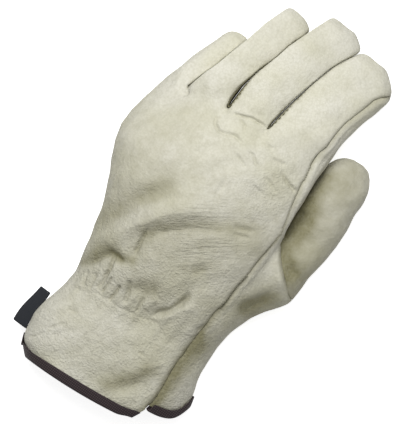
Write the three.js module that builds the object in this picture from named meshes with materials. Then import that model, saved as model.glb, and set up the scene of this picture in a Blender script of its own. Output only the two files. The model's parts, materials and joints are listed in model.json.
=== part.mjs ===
import * as THREE from "three";

// Leather driver glove for the left hand, lying palm down with the back of the hand up.
// +X points to the thumb, +Y to the fingertips and +Z up from the table. Millimetres.
const WALL = 1.2;
const SEAM_PULL = 0.2;
const TIP_PULL = 1.0;
const CORNER_ANGLE = 52;
const FINGER_ROUNDNESS = 2.9;
const TIP_ROUNDNESS = 2.3;
const THUMB_ROUNDNESS = 2.25;
const SEAM_TURN = 2.5;

// How many strips each part of the hand is cut into, around the section.
const COLUMNS = {
  fingers: { little: 5, ring: 6, middle: 6, index: 8 },
  palmSide: 3,
  thenar: 12,
};

// Sections across the hand. y is where the section crosses x = 0 and tilt is its slope there;
// left, seam and edge are x of the little-finger side, the thumb-side seam and the palm edge.
const HAND = [
  { y: 9, left: -44.4, seam: 33.4, strip: 4.5, edge: 50.6, top: 28.5, seamZ: 22.5, stripZ: 19.5, edgeZ: 9 },
  { y: 15, left: -46.8, seam: 34.9, strip: 4.5, edge: 49.0, top: 29.5, seamZ: 23, stripZ: 20, edgeZ: 10 },
  { y: 24, left: -48.0, seam: 34.2, strip: 4.5, edge: 46.6, top: 30.5, seamZ: 24, stripZ: 21, edgeZ: 11 },
  { y: 34, left: -47.4, seam: 33.0, strip: 4.5, edge: 45.8, top: 30.5, seamZ: 24.5, stripZ: 21.5, edgeZ: 11.5 },
  { y: 42, left: -45.2, seam: 32.6, strip: 4.2, edge: 45.4, top: 30, seamZ: 24.5, stripZ: 21.5, edgeZ: 12 },
  { y: 48, left: -43.4, seam: 32.5, strip: 4.0, edge: 44.9, top: 29.5, seamZ: 24.5, stripZ: 22, edgeZ: 12 },
  { y: 56, left: -42.6, seam: 32.7, strip: 4.0, edge: 44.3, top: 32.5, seamZ: 26.5, stripZ: 24, edgeZ: 13 },
  { y: 66, left: -45.3, seam: 33.3, strip: 4.0, edge: 45.0, top: 36, seamZ: 29, stripZ: 26.5, edgeZ: 13.5 },
  { y: 76, left: -47.2, seam: 33.7, strip: 4.0, edge: 46.6, top: 38.5, seamZ: 31, stripZ: 28, edgeZ: 14 },
  { y: 88, left: -50.4, seam: 34.2, strip: 4.0, edge: 49.7, top: 41, seamZ: 32.5, stripZ: 29, edgeZ: 14 },
  { y: 100, left: -54.0, seam: 35.2, strip: 3.8, edge: 53.8, top: 43, seamZ: 33.5, stripZ: 29.5, edgeZ: 14 },
  { y: 110, left: -58.2, seam: 35.8, strip: 3.2, edge: 57.8, top: 44.5, seamZ: 34, stripZ: 29.5, edgeZ: 14 },
  { y: 118, left: -62.0, seam: 36.2, strip: 2.6, edge: 60.8, top: 45.5, seamZ: 34, stripZ: 28.5, edgeZ: 14 },
  { y: 125, left: -64.9, seam: 36.5, strip: 1.9, edge: 62.5, top: 46, seamZ: 33.5, stripZ: 27.5, edgeZ: 13.5 },
  { y: 133, left: -68.1, seam: 35.6, strip: 1.2, edge: 37.2, top: 46, seamZ: 34, stripZ: 30, edgeZ: 23 },
  { y: 142, left: -70.7, seam: 33.4, strip: 2.0, edge: 36.4, top: 45.5, seamZ: 35, stripZ: 32, edgeZ: 23 },
  { y: 152, left: -70.5, seam: 30.9, strip: 3.4, edge: 35.5, top: 45, seamZ: 35.5, stripZ: 32.5, edgeZ: 22 },
  { y: 163, left: -68.6, seam: 28.9, strip: 4.8, edge: 34.8, top: 43.5, seamZ: 34.5, stripZ: 31.5, edgeZ: 21 },
  { y: 175, left: -66.2, seam: 27.0, strip: 6.4, edge: 34.6, top: 40, seamZ: 32, stripZ: 28.5, edgeZ: 19 },
];
const SOCKET_ROW = 13;
const CROTCH_ROW = HAND.length - 1;

// Where the slits between the fingers start, on the back and under the hand.
const CROTCHES = [
  { name: "little_ring", backX: -52.6, palmX: -52.0, valley: 1.8, palmRise: 5 },
  { name: "ring_middle", backX: -27.6, palmX: -28.0, valley: 1.6, palmRise: 7 },
  { name: "middle_index", backX: -3.2, palmX: -3.2, valley: 1.6, palmRise: 7 },
];

// Sections along each finger and the thumb: x of the middle, half the width, top and bottom.
// tip is how far the rounded end reaches past the last section, tipDrop and slide how far it
// dips and leans towards the thumb.
const FINGERS = {
  little: {
    rows: 4,
    tip: 8.5,
    tipDrop: 2,
    slide: 1.5,
    back: [190, 32],
    palm: [-32, -170],
    table: [
      { y: 174, x: -57.8, half: 5.7, top: 22, bottom: 1.5 },
      { y: 183, x: -54.8, half: 6.0, top: 19.5, bottom: 0.5 },
      { y: 193, x: -51.9, half: 5.7, top: 18, bottom: 0 },
      { y: 202.5, x: -48.4, half: 5.6, top: 15.5, bottom: 0 },
    ],
  },
  ring: {
    rows: 6,
    tip: 11,
    tipDrop: 3,
    slide: 3,
    back: [150, 30],
    palm: [-30, -150],
    table: [
      { y: 178, x: -39.9, half: 10.2, top: 35, bottom: 10 },
      { y: 191, x: -38.0, half: 8.9, top: 33, bottom: 9 },
      { y: 205, x: -34.2, half: 8.7, top: 29.5, bottom: 8 },
      { y: 217, x: -31.9, half: 9.4, top: 25, bottom: 4 },
      { y: 226.5, x: -29.4, half: 9.0, top: 20.5, bottom: 0.5 },
    ],
  },
  middle: {
    rows: 6,
    tip: 13,
    tipDrop: 3,
    slide: 4,
    back: [150, 32],
    palm: [-30, -150],
    table: [
      { y: 181, x: -16.3, half: 11.6, top: 39, bottom: 12 },
      { y: 196, x: -14.6, half: 12.0, top: 36.5, bottom: 11 },
      { y: 211, x: -11.2, half: 12.0, top: 32.5, bottom: 8 },
      { y: 224, x: -8.0, half: 11.8, top: 27.5, bottom: 4 },
      { y: 235, x: -4.4, half: 12.4, top: 22, bottom: 0 },
    ],
  },
  index: {
    rows: 6,
    tip: 13,
    tipDrop: 3,
    slide: 1.5,
    back: [142, 50],
    palm: [50, -150],
    table: [
      { y: 187, x: 16.2, half: 18.3, top: 36.5, bottom: 7 },
      { y: 199, x: 17.0, half: 17.4, top: 33.5, bottom: 5.5 },
      { y: 210, x: 19.5, half: 17.1, top: 29.5, bottom: 3 },
      { y: 219, x: 22.0, half: 17.1, top: 26, bottom: 1 },
      { y: 227, x: 24.3, half: 16.1, top: 23, bottom: 0 },
    ],
  },
};
const THUMB = {
  rows: 6,
  tip: 15.5,
  tipDrop: 2,
  slide: 0,
  columns: 14,
  table: [
    { y: 129, x: 51.0, half: 11.4, top: 25.5, bottom: 0, tilt: -0.5 },
    { y: 137, x: 51.3, half: 12.4, top: 23, bottom: 0, tilt: -0.3 },
    { y: 146, x: 51.3, half: 13.4, top: 24.5, bottom: 0, tilt: -0.1 },
    { y: 156, x: 50.6, half: 13.5, top: 26.5, bottom: 0, tilt: 0 },
    { y: 166, x: 49.2, half: 13.2, top: 27, bottom: 0, tilt: 0 },
    { y: 175, x: 48.5, half: 13.3, top: 25.5, bottom: 0, tilt: 0 },
  ],
};

// Broad folds of the back: a run of plan points, half width and height above the leather.
const FOLDS = [
  { run: [[-50, 91], [-45, 122]], width: 6, height: 1.2 },
  { run: [[-50, 80], [-49, 91], [-39, 105], [-32, 119], [-25, 129]], width: 5.5, height: -2.2 },
  { run: [[-44, 70], [-38, 87], [-26, 106], [-11, 122]], width: 6, height: 1.3 },
  { run: [[-43, 61], [-41, 71], [-29, 82], [-14, 103], [-4, 113], [18, 125]], width: 6, height: -2.2 },
  { run: [[2.5, 55], [7, 61], [11, 66], [14, 81]], width: 4, height: -2.4 },
  { run: [[3, 15], [31, 32]], width: 9, height: -1.6 },
];
const GATHERS = [
  { y: 34, depth: 0.2 },
  { y: 42, depth: 0.45 },
  { y: 48, depth: 0.95 },
  { y: 56, depth: 0.8 },
  { y: 66, depth: 0.4 },
];

const HEM = { band: 4.4, innerBand: 4.2, clear: 0.5, thick: 0.8 };
const LABEL = { clear: 0.4, reach: 8.4, thick: 0.7, fromY: 8.4, toY: 32.4, droop: 2.2 };

const leather = new THREE.MeshStandardMaterial({ color: 0xd6d2bd, roughness: 0.75, metalness: 0 });
const binding = new THREE.MeshStandardMaterial({ color: 0x33191a, roughness: 0.9, metalness: 0 });
const ribbon = new THREE.MeshStandardMaterial({ color: 0x15161a, roughness: 0.85, metalness: 0 });

const radians = (degrees) => (degrees * Math.PI) / 180;
const mix = (a, b, t) => a + (b - a) * t;
const clamp01 = (t) => Math.min(1, Math.max(0, t));
const smooth = (t) => clamp01(t) ** 2 * (3 - 2 * clamp01(t));

// The welded outer surface of the whole glove; every face belongs to one panel.
const points = [];
const faces = [];
const addPoint = (p) => points.push(p) - 1;

function addFace(panel, ids) {
  const ring = ids.filter((id, i) => id !== ids[(i + 1) % ids.length]);
  faces.push({ panel, ids: ring });
}

function addGrid(panel, lower, upper) {
  for (let c = 0; c + 1 < lower.length; c += 1) {
    addFace(panel, [lower[c], lower[c + 1], upper[c + 1], upper[c]]);
  }
}

// Sections of the hand
function rowTilt(row) {
  return 0.12 + (0.043 * (row.y + 2)) / 177;
}

function rowDrop(row, index) {
  return index > SOCKET_ROW ? 0 : 27 * Math.max(0, (row.y - 62) / 63) ** 1.3;
}

// The palm hem is cut higher round the thumb side, and this fades out towards the wrist.
function hemShift(row) {
  return 13.4 * (1 - smooth((row.y - 9) / 42));
}

function sectionCurve(index) {
  const row = HAND[index];
  const tilt = rowTilt(row);
  const drop = rowDrop(row, index);
  const width = row.edge - row.left;
  const shoulder = mix(1, 0.66, smooth((row.y - 118) / 57));
  const lift = 8 * smooth((row.y - 140) / 37) + 3.4 * (1 - smooth((row.y - 9) / 17));
  const dent = -2.6 * Math.exp(-(((row.y - 107) / 9) ** 2)) + 1.4 * smooth((row.y - 114) / 11);
  const at = (x, z, back = 0) => new THREE.Vector3(x, row.y + tilt * x - back, Math.max(0, z));
  const a = row.left;
  const s = row.seam;
  const e = s + row.strip;
  const r = row.edge;
  const h = row.top;
  const eZ = row.stripZ;
  const hem = index <= SOCKET_ROW ? hemShift(row) : 0;
  const list = [
    at(a + 0.008 * width, 0.24 * h * shoulder),
    at(a, 0.38 * h * shoulder),
    at(a + 0.04 * width, 0.68 * h * shoulder),
    at(a + 0.15 * width, 0.9 * h * mix(shoulder, 1, 0.15)),
    at(a + 0.34 * width, h * mix(shoulder, 1, 0.6)),
    at(mix(a, s, 0.68), h),
    at(mix(a, s, 0.88), mix(h, row.seamZ, 0.38)),
    at(s, row.seamZ),
    at(e, eZ),
  ];
  if (index <= SOCKET_ROW) {
    const under = mix(0.2, 0, smooth((row.y - 80) / 45));
    const z1 = mix(eZ, row.edgeZ, 0.16) + 0.4 * dent;
    const z2 = mix(eZ, row.edgeZ, 0.48) + dent;
    list.push(at(mix(e, r, 0.35), z1, 0.43 * drop - 0.05 * hem));
    list.push(at(mix(e, r, 0.75), z2, 0.8 * drop - 0.25 * hem));
    list.push(at(r, row.edgeZ, drop - hem));
    list.push(at(mix(e, r, 0.8), 0.12 * row.edgeZ, 0.8 * drop - 0.9 * hem));
    list.push(at(mix(e, r, under), lift, 0.1 * drop - 0.6 * hem));
  } else {
    const round = smooth((row.y - 133) / 42);
    list.push(at(r, row.edgeZ));
    list.push(at(r - 0.6, mix(row.edgeZ, mix(lift, 14, round), 0.6)));
    list.push(at(r - mix(3.5, 1.2, round), mix(lift, 14, round)));
    list.push(at(r - mix(6.5, 5.5, round), lift));
  }
  list.push(at(mix(a, r, 0.45), lift, -0.2 * hem));
  list.push(at(mix(a, s, 0.16), 0.4 * lift));
  list.push(at(a + 0.035 * width, 0.07 * h));
  const curve = new THREE.CatmullRomCurve3(list, true, "centripetal");
  return { curve, count: list.length, seam: 7, strip: 8, under: index <= SOCKET_ROW ? 13 : 11 };
}

// Even steps along part of a section, or steps that meet the given x values.
function densePart(section, from, to) {
  const out = [];
  const steps = 16 * (to - from);
  for (let i = 0; i <= steps; i += 1) {
    out.push(section.curve.getPoint(((from + i / 16) / section.count) % 1));
  }
  return out;
}

function lengths(run) {
  const total = [0];
  for (let i = 1; i < run.length; i += 1) {
    total.push(total[i - 1] + run[i].distanceTo(run[i - 1]));
  }
  return total;
}

function pointAt(run, fraction) {
  const total = lengths(run);
  const goal = fraction * total[total.length - 1];
  let i = 1;
  while (i < run.length - 1 && total[i] < goal) i += 1;
  const t = clamp01((goal - total[i - 1]) / (total[i] - total[i - 1]));
  return run[i - 1].clone().lerp(run[i], t);
}

function fractionAtX(run, x, from = 0) {
  const total = lengths(run);
  const end = total[total.length - 1];
  for (let i = 1; i < run.length; i += 1) {
    const crosses = (run[i - 1].x - x) * (run[i].x - x) <= 0;
    if (crosses && total[i] / end >= from) {
      const t = (x - run[i - 1].x) / (run[i].x - run[i - 1].x || 1);
      return mix(total[i - 1], total[i], clamp01(t)) / end;
    }
  }
  return from;
}

function spread(marks, counts) {
  const out = [marks[0]];
  counts.forEach((count, k) => {
    for (let i = 1; i <= count; i += 1) out.push(mix(marks[k], marks[k + 1], i / count));
  });
  return out;
}

const fingerCounts = Object.values(COLUMNS.fingers);
const backColumns = fingerCounts.reduce((a, b) => a + b);
const bottomCounts = [...fingerCounts].reverse();
bottomCounts[0] -= COLUMNS.palmSide;
const bottomColumns = bottomCounts.reduce((a, b) => a + b);

const crotchSection = sectionCurve(CROTCH_ROW);
const crotchBack = densePart(crotchSection, 0, 7);
const crotchBottom = densePart(crotchSection, 11, crotchSection.count);
const backGoal = spread(
  [0, ...CROTCHES.map((c) => fractionAtX(crotchBack, c.backX, 0.12)), 1],
  fingerCounts,
);
const palmMarks = [...CROTCHES].reverse().map((c) => fractionAtX(crotchBottom, c.palmX));
const bottomGoal = spread([0, ...palmMarks, 1], bottomCounts);

// Folds and gathers lift or sink points of the back.
function runDistance(run, x, y) {
  let best = Infinity;
  for (let i = 1; i < run.length; i += 1) {
    const [ax, ay] = run[i - 1];
    const [bx, by] = run[i];
    const t = clamp01(((x - ax) * (bx - ax) + (y - ay) * (by - ay)) / ((bx - ax) ** 2 + (by - ay) ** 2));
    best = Math.min(best, Math.hypot(x - mix(ax, bx, t), y - mix(ay, by, t)));
  }
  return best;
}

function foldHeight(x, y) {
  return FOLDS.reduce((sum, f) => sum + f.height * Math.exp(-((runDistance(f.run, x, y) / f.width) ** 2)), 0);
}

function gatherHeight(y, column) {
  const row = GATHERS.find((g) => g.y === y);
  return row ? row.depth * (column % 2 ? 1 : -1) : 0;
}

const backRows = [];
const palmRows = [];
HAND.forEach((row, index) => {
  const section = sectionCurve(index);
  const back = densePart(section, 0, 7);
  const bottom = densePart(section, section.under, section.count);
  const gone = smooth((row.y - 40) / 125);
  const backIds = backGoal.map((goal, c) => {
    const p = pointAt(back, mix(c / backColumns, goal, gone));
    const inside = Math.sin((Math.PI * c) / backColumns);
    p.z += (foldHeight(p.x, p.y) + gatherHeight(row.y, c)) * clamp01(inside * 2.5);
    return addPoint(p);
  });
  const strip = addPoint(pointAt(densePart(section, 7, 8), 1));
  const bottomIds = bottomGoal.map((goal, c) => {
    if (c === bottomColumns) return backIds[0];
    const p = pointAt(bottom, mix(c / bottomColumns, goal, gone));
    p.z = Math.max(0, p.z);
    return addPoint(p);
  });
  const entry = { strip: [backIds[backColumns], strip], bottom: bottomIds };
  if (index <= SOCKET_ROW) {
    const arc = densePart(section, 8, 13);
    entry.thenar = Array.from({ length: COLUMNS.thenar + 1 }, (_, c) => {
      if (c === 0) return strip;
      if (c === COLUMNS.thenar) return bottomIds[0];
      return addPoint(pointAt(arc, c / COLUMNS.thenar));
    });
  } else {
    entry.side = [strip, addPoint(pointAt(densePart(section, 8, 11), 0.5)), bottomIds[0]];
  }
  backRows.push(backIds);
  palmRows.push(entry);
});

// Valleys at the ends of the finger slits
CROTCHES.forEach((crotch, k) => {
  const column = fingerCounts.slice(0, k + 1).reduce((a, b) => a + b);
  points[backRows[CROTCH_ROW][column]].z -= crotch.valley;
  points[backRows[CROTCH_ROW - 1][column]].z -= 0.3 * crotch.valley;
  const below = bottomColumns - column;
  points[palmRows[CROTCH_ROW].bottom[below]].z += crotch.palmRise;
  points[palmRows[CROTCH_ROW - 1].bottom[below]].z += 0.3 * crotch.palmRise;
});

// Lower edge of the back, below the place where the side seams end
function hemY(x) {
  return -2.4 + 0.0013 * (x + 35) ** 2 + 1.6 * smooth((x - 23) / 9);
}

const hemEdge = [];
const hemMiddle = [];
backRows[0].forEach((id, column) => {
  const p = points[id];
  const q = points[backRows[1][column]];
  const edge = p.clone().add(p.clone().sub(q).multiplyScalar((p.y - hemY(p.x)) / (q.y - p.y)));
  edge.y = hemY(p.x);
  edge.x += 3.6 * smooth(-0.2 - p.x / 40) - 2.0 * smooth((p.x - 20) / 12);
  edge.z = p.z - 0.6;
  hemEdge.push(addPoint(edge));
  hemMiddle.push(addPoint(p.clone().lerp(edge, 0.5)));
});
addGrid("back_panel", hemEdge, hemMiddle);
addGrid("back_panel", hemMiddle, backRows[0]);
for (let r = 0; r < CROTCH_ROW; r += 1) addGrid("back_panel", backRows[r], backRows[r + 1]);

const web = addPoint(new THREE.Vector3(38.4, 133.0, 15));
const webLine = [palmRows[SOCKET_ROW].strip[1], web, palmRows[SOCKET_ROW].bottom[0]];
for (let r = 0; r < CROTCH_ROW; r += 1) {
  const low = palmRows[r];
  const high = palmRows[r + 1];
  addGrid("palm_panel", low.strip, high.strip);
  if (r < SOCKET_ROW) addGrid("palm_panel", low.thenar, high.thenar);
  if (r === SOCKET_ROW) addGrid("palm_panel", webLine, high.side);
  if (r > SOCKET_ROW) addGrid("palm_panel", low.side, high.side);
  addGrid("palm_panel", low.bottom, high.bottom);
}

// Fingers and thumb: rings along a middle line, closed by a rounded tip
function readRow(table, t) {
  const at = clamp01(t) * (table.length - 1);
  const i = Math.min(table.length - 2, Math.floor(at));
  const f = at - i;
  const pick = (k) => table[Math.min(table.length - 1, Math.max(0, k))];
  const value = (name) => {
    const [p0, p1, p2, p3] = [i - 1, i, i + 1, i + 2].map((k) => pick(k)[name] ?? 0);
    const bend = 2 * p0 - 5 * p1 + 4 * p2 - p3 + f * (3 * (p1 - p2) + p3 - p0);
    return p1 + 0.5 * f * (p2 - p0 + f * bend);
  };
  return Object.fromEntries(Object.keys(table[0]).map((name) => [name, value(name)]));
}

function tubePoint(spec, j, angle, tipStep) {
  const t = Math.min(1, j / (spec.rows - 1));
  const here = readRow(spec.table, t);
  const ahead = readRow(spec.table, Math.min(1, t + 0.1));
  const before = readRow(spec.table, Math.max(0, t - 0.1));
  const lean = (ahead.x - before.x) / (ahead.y - before.y);
  const axis = new THREE.Vector3(lean, 1, 0).normalize();
  const side = new THREE.Vector3(axis.y, -axis.x + (here.tilt ?? 0), 0);
  const across = Math.cos(radians(angle));
  const up = Math.sin(radians(angle));
  const corner = radians(90 - tipStep * (90 - CORNER_ANGLE));
  const blunt = Math.cos(radians(CORNER_ANGLE));
  const bow = (Math.cos(radians(CORNER_ANGLE) * across) - blunt) / (1 - blunt);
  let p = mix(across * Math.sin(corner), Math.sin(corner * across), tipStep);
  let q = Math.cos(corner) + (Math.sin((Math.PI / 2) * tipStep) - Math.cos(corner)) * bow;
  let h = Math.sqrt(Math.max(0, 1 - p * p - q * q)) * Math.sign(up || 1);
  const n = spec === THUMB ? THUMB_ROUNDNESS : mix(FINGER_ROUNDNESS, TIP_ROUNDNESS, tipStep);
  const k = (Math.abs(p) ** n + Math.abs(q) ** n + Math.abs(h) ** n) ** (-1 / n);
  p *= k;
  q *= k;
  h *= k;
  const middle = (here.top + here.bottom) / 2 - spec.tipDrop * q;
  const centre = new THREE.Vector3(here.x, here.y, middle);
  centre.addScaledVector(side, p * here.half + q * spec.slide).addScaledVector(axis, q * spec.tip);
  centre.z = Math.max(0, centre.z + (h * (here.top - here.bottom)) / 2);
  return centre;
}

const TIP_STEPS = [0.36, 0.7, 1];
const angles = (from, to, count) => Array.from({ length: count + 1 }, (_, c) => mix(from, to, c / count));

function ringIds(spec, j, tipStep, list, ends) {
  return list.map((angle, c) => {
    const toEnd = c <= list.length / 2 ? ends[0] : ends[1];
    const along = Math.abs((2 * c) / (list.length - 1) - 1);
    const turned = mix(angle, mix(angle, toEnd, along), tipStep ** SEAM_TURN);
    return addPoint(tubePoint(spec, j, turned, tipStep));
  });
}

function buildFinger(name, first) {
  const spec = FINGERS[name];
  const count = COLUMNS.fingers[name];
  const rows = [first];
  for (let j = 0; j < spec.rows + TIP_STEPS.length; j += 1) {
    const tipStep = j < spec.rows ? 0 : TIP_STEPS[j - spec.rows];
    const row = {};
    row.back = ringIds(spec, j, tipStep, angles(...spec.back, count), [180, 0]);
    row.palm = ringIds(spec, j, tipStep, angles(...spec.palm, count), [0, -180]);
    if (name === "index") row.palm[0] = row.back[count];
    if (name === "little") row.palm[count] = row.back[0];
    if (tipStep === 1) row.palm = [...row.back].reverse();
    row.right = [row.back[count], addPoint(tubePoint(spec, j, 0, tipStep)), row.palm[0]];
    row.left = [row.palm[count], addPoint(tubePoint(spec, j, 180, tipStep)), row.back[0]];
    if (tipStep === 1) {
      row.right = row.right.map(() => row.back[count]);
      row.left = row.left.map(() => row.back[0]);
    }
    rows.push(row);
  }
  for (let j = 0; j + 1 < rows.length; j += 1) {
    addGrid("back_panel", rows[j].back, rows[j + 1].back);
    addGrid("palm_panel", rows[j].palm, rows[j + 1].palm);
  }
  return rows;
}

// The first ring of every finger is its share of the last section of the hand.
const crotchBacks = backRows[CROTCH_ROW];
const crotchPalm = [...palmRows[CROTCH_ROW].strip.slice(0, 1), ...palmRows[CROTCH_ROW].side];
crotchPalm.push(...palmRows[CROTCH_ROW].bottom.slice(1));
const crotchIds = CROTCHES.map((crotch, k) => {
  const fromLeft = fingerCounts.slice(0, k + 1).reduce((a, b) => a + b);
  const top = crotchBacks[fromLeft];
  const bottom = crotchPalm[crotchPalm.length - 1 - fromLeft];
  const middle = points[top].clone().lerp(points[bottom], 0.5);
  middle.y += 2.5;
  return { fromLeft, top, middle: addPoint(middle), bottom };
});

const fingerRows = {};
let start = 0;
Object.entries(COLUMNS.fingers).forEach(([name, count], k) => {
  const last = crotchPalm.length - 1;
  const leftCrotch = crotchIds[k - 1];
  const rightCrotch = crotchIds[k];
  const first = {
    back: crotchBacks.slice(start, start + count + 1),
    palm: crotchPalm.slice(last - start - count, last - start + 1),
    right: rightCrotch && [rightCrotch.top, rightCrotch.middle, rightCrotch.bottom],
    left: leftCrotch && [leftCrotch.bottom, leftCrotch.middle, leftCrotch.top],
  };
  fingerRows[name] = buildFinger(name, first);
  start += count;
});

const fourchettes = [
  { panel: "fourchette_ring_little", left: "little", right: "ring" },
  { panel: "fourchette_middle_ring", left: "ring", right: "middle" },
  { panel: "fourchette_index_middle", left: "middle", right: "index" },
];
fourchettes.forEach(({ panel, left, right }) => {
  const a = fingerRows[left];
  const b = fingerRows[right];
  for (let j = 0; j + 1 < a.length; j += 1) addGrid(panel, a[j].right, a[j + 1].right);
  for (let j = 0; j + 1 < b.length; j += 1) addGrid(panel, b[j].left, b[j + 1].left);
});

// Thumb: its first ring is the edge of the opening in the palm panel
const socket = palmRows[SOCKET_ROW].thenar;
let ring = [web, ...socket, web];
const thumbAngles = angles(180, -180, THUMB.columns);
for (let j = 0; j < THUMB.rows + TIP_STEPS.length; j += 1) {
  const tipStep = j < THUMB.rows ? 0 : TIP_STEPS[j - THUMB.rows];
  const half = THUMB.columns / 2;
  const next = thumbAngles.map((angle) => addPoint(tubePoint(THUMB, j, angle, tipStep)));
  next[THUMB.columns] = next[0];
  if (tipStep === 1) {
    for (let c = 1; c < half; c += 1) next[THUMB.columns - c] = next[c];
  }
  addGrid("thumb", ring, next);
  ring = next;
}

// Shared normals, so that the walls of neighbouring panels meet edge to edge
const normals = points.map(() => new THREE.Vector3());
faces.forEach((face) => {
  const p = face.ids.map((id) => points[id]);
  const u = p[2].clone().sub(p[0]);
  const v = (p[3] ?? p[2]).clone().sub(p[1]);
  const n = p.length === 4 ? u.cross(v) : p[1].clone().sub(p[0]).cross(u);
  face.normal = n.clone().normalize();
  face.centre = p.reduce((sum, q) => sum.add(q), new THREE.Vector3()).divideScalar(p.length);
  face.ids.forEach((id) => normals[id].add(n.clone().normalize()));
});
normals.forEach((n) => n.normalize());

const owners = points.map(() => new Set());
faces.forEach((face) => face.ids.forEach((id) => owners[id].add(face.panel)));

const tipIds = new Set(Object.values(fingerRows).flatMap((rows) => rows[rows.length - 1].back));

function toGeometry(list, triangles) {
  const flat = new Float32Array(list.length * 3);
  list.forEach((p, i) => p.toArray(flat, i * 3));
  const geometry = new THREE.BufferGeometry();
  geometry.setAttribute("position", new THREE.BufferAttribute(flat, 3));
  geometry.setIndex(triangles);
  geometry.computeVertexNormals();
  return geometry;
}

function splitFace(list, ids) {
  if (ids.length === 3) return [ids];
  const [a, b, c, d] = ids;
  const short = list[a].distanceTo(list[c]) <= list[b].distanceTo(list[d]);
  return short ? [[a, b, c], [a, c, d]] : [[a, b, d], [b, c, d]];
}

// Edges of a panel that only one of its faces uses, in the direction of that face
function openEdges(own) {
  const edges = new Map();
  own.forEach(({ ids }) => {
    ids.forEach((a, i) => {
      const b = ids[(i + 1) % ids.length];
      if (edges.has(`${b},${a}`)) edges.delete(`${b},${a}`);
      else edges.set(`${a},${b}`, [a, b]);
    });
  });
  return [...edges.values()];
}

// How far each seam point of a panel stands back, square to the seams that meet there
function seamPulls(name, edges) {
  const sides = new Map();
  edges.forEach(([a, b]) => {
    if (owners[a].size < 2 || owners[b].size < 2) return;
    [a, b].forEach((id) => {
      const along = points[b].clone().sub(points[a]);
      const inward = normals[id].clone().cross(along).normalize();
      sides.set(id, [...(sides.get(id) ?? []), inward]);
    });
  });
  const pulls = new Map();
  sides.forEach((list, id) => {
    const sum = list.reduce((total, side) => total.add(side), new THREE.Vector3());
    const mitre = list.length === 1 ? 1 : Math.max(0.35, 1 + list[0].dot(list[1]));
    const pointed = name.startsWith("fourchette") && tipIds.has(id);
    const length = pointed ? TIP_PULL : (SEAM_PULL * sum.length()) / mitre;
    pulls.set(id, sum.normalize().multiplyScalar(length));
  });
  return pulls;
}

// One closed wall from the faces of one panel: outer skin, inner skin and rims
function panelSolid(name, material) {
  const own = faces.filter((face) => face.panel === name);
  const ids = [...new Set(own.flatMap((face) => face.ids))];
  const local = new Map(ids.map((id, i) => [id, i]));
  const edges = openEdges(own);
  const pulls = seamPulls(name, edges);
  const outer = ids.map((id) => {
    const p = points[id].clone().add(pulls.get(id) ?? new THREE.Vector3());
    p.z = Math.max(0, p.z);
    return p;
  });
  const inner = outer.map((p, i) => p.clone().addScaledVector(normals[ids[i]], -WALL));
  const list = [...outer, ...inner];
  const count = ids.length;
  const triangles = [];
  own.forEach((face) => {
    splitFace(list, face.ids.map((id) => local.get(id))).forEach(([a, b, c]) => {
      triangles.push(a, b, c, a + count, c + count, b + count);
    });
  });
  edges.forEach(([idA, idB]) => {
    const a = local.get(idA);
    const b = local.get(idB);
    if (idA < idB) triangles.push(a, a + count, b + count, a, b + count, b);
    else triangles.push(a, a + count, b, b, a + count, b + count);
  });
  return finishMesh(name, list, triangles, material);
}

function finishMesh(name, list, triangles, material) {
  const mesh = new THREE.Mesh(toGeometry(list, triangles), material);
  mesh.name = name;
  return mesh;
}

// A bent strip folded over the lower edge of a panel, outside and inside
function hemBinding(name, edgeIds, aboveIds) {
  const list = [];
  const triangles = [];
  const outside = HEM.clear + HEM.thick;
  const inside = WALL + HEM.clear;
  const profile = [
    [outside, HEM.band],
    [outside, -outside],
    [-inside - HEM.thick, -outside],
    [-inside - HEM.thick, HEM.innerBand],
    [-inside, HEM.innerBand],
    [-inside, -HEM.clear],
    [HEM.clear, -HEM.clear],
    [HEM.clear, HEM.band],
  ];
  const turn = profile.length;
  edgeIds.forEach((id, i) => {
    const p = points[id].clone();
    const n = normals[id];
    const up = points[aboveIds[i]].clone().sub(p);
    up.addScaledVector(n, -up.dot(n)).normalize();
    if (i === 0 || i === edgeIds.length - 1) {
      const beside = points[edgeIds[i === 0 ? 1 : i - 1]].clone().sub(p).normalize();
      p.addScaledVector(beside, 0.5);
    }
    profile.forEach(([out, along]) => {
      const q = p.clone().addScaledVector(n, out).addScaledVector(up, along);
      q.z = Math.max(0, q.z);
      list.push(q);
    });
  });
  for (let i = 0; i + 1 < edgeIds.length; i += 1) {
    for (let k = 0; k < turn; k += 1) {
      const a = i * turn + k;
      const b = i * turn + ((k + 1) % turn);
      triangles.push(a, b, a + turn, b, b + turn, a + turn);
    }
  }
  const cap = (base, flip) => {
    const flat = [[0, 7, 6], [0, 6, 1], [1, 6, 5], [1, 5, 2], [2, 5, 4], [2, 4, 3]];
    flat.forEach(([a, b, c]) => {
      if (flip) triangles.push(base + a, base + c, base + b);
      else triangles.push(base + a, base + b, base + c);
    });
  };
  cap(0, false);
  cap((edgeIds.length - 1) * turn, true);
  return finishMesh(name, list, triangles, binding);
}

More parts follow.
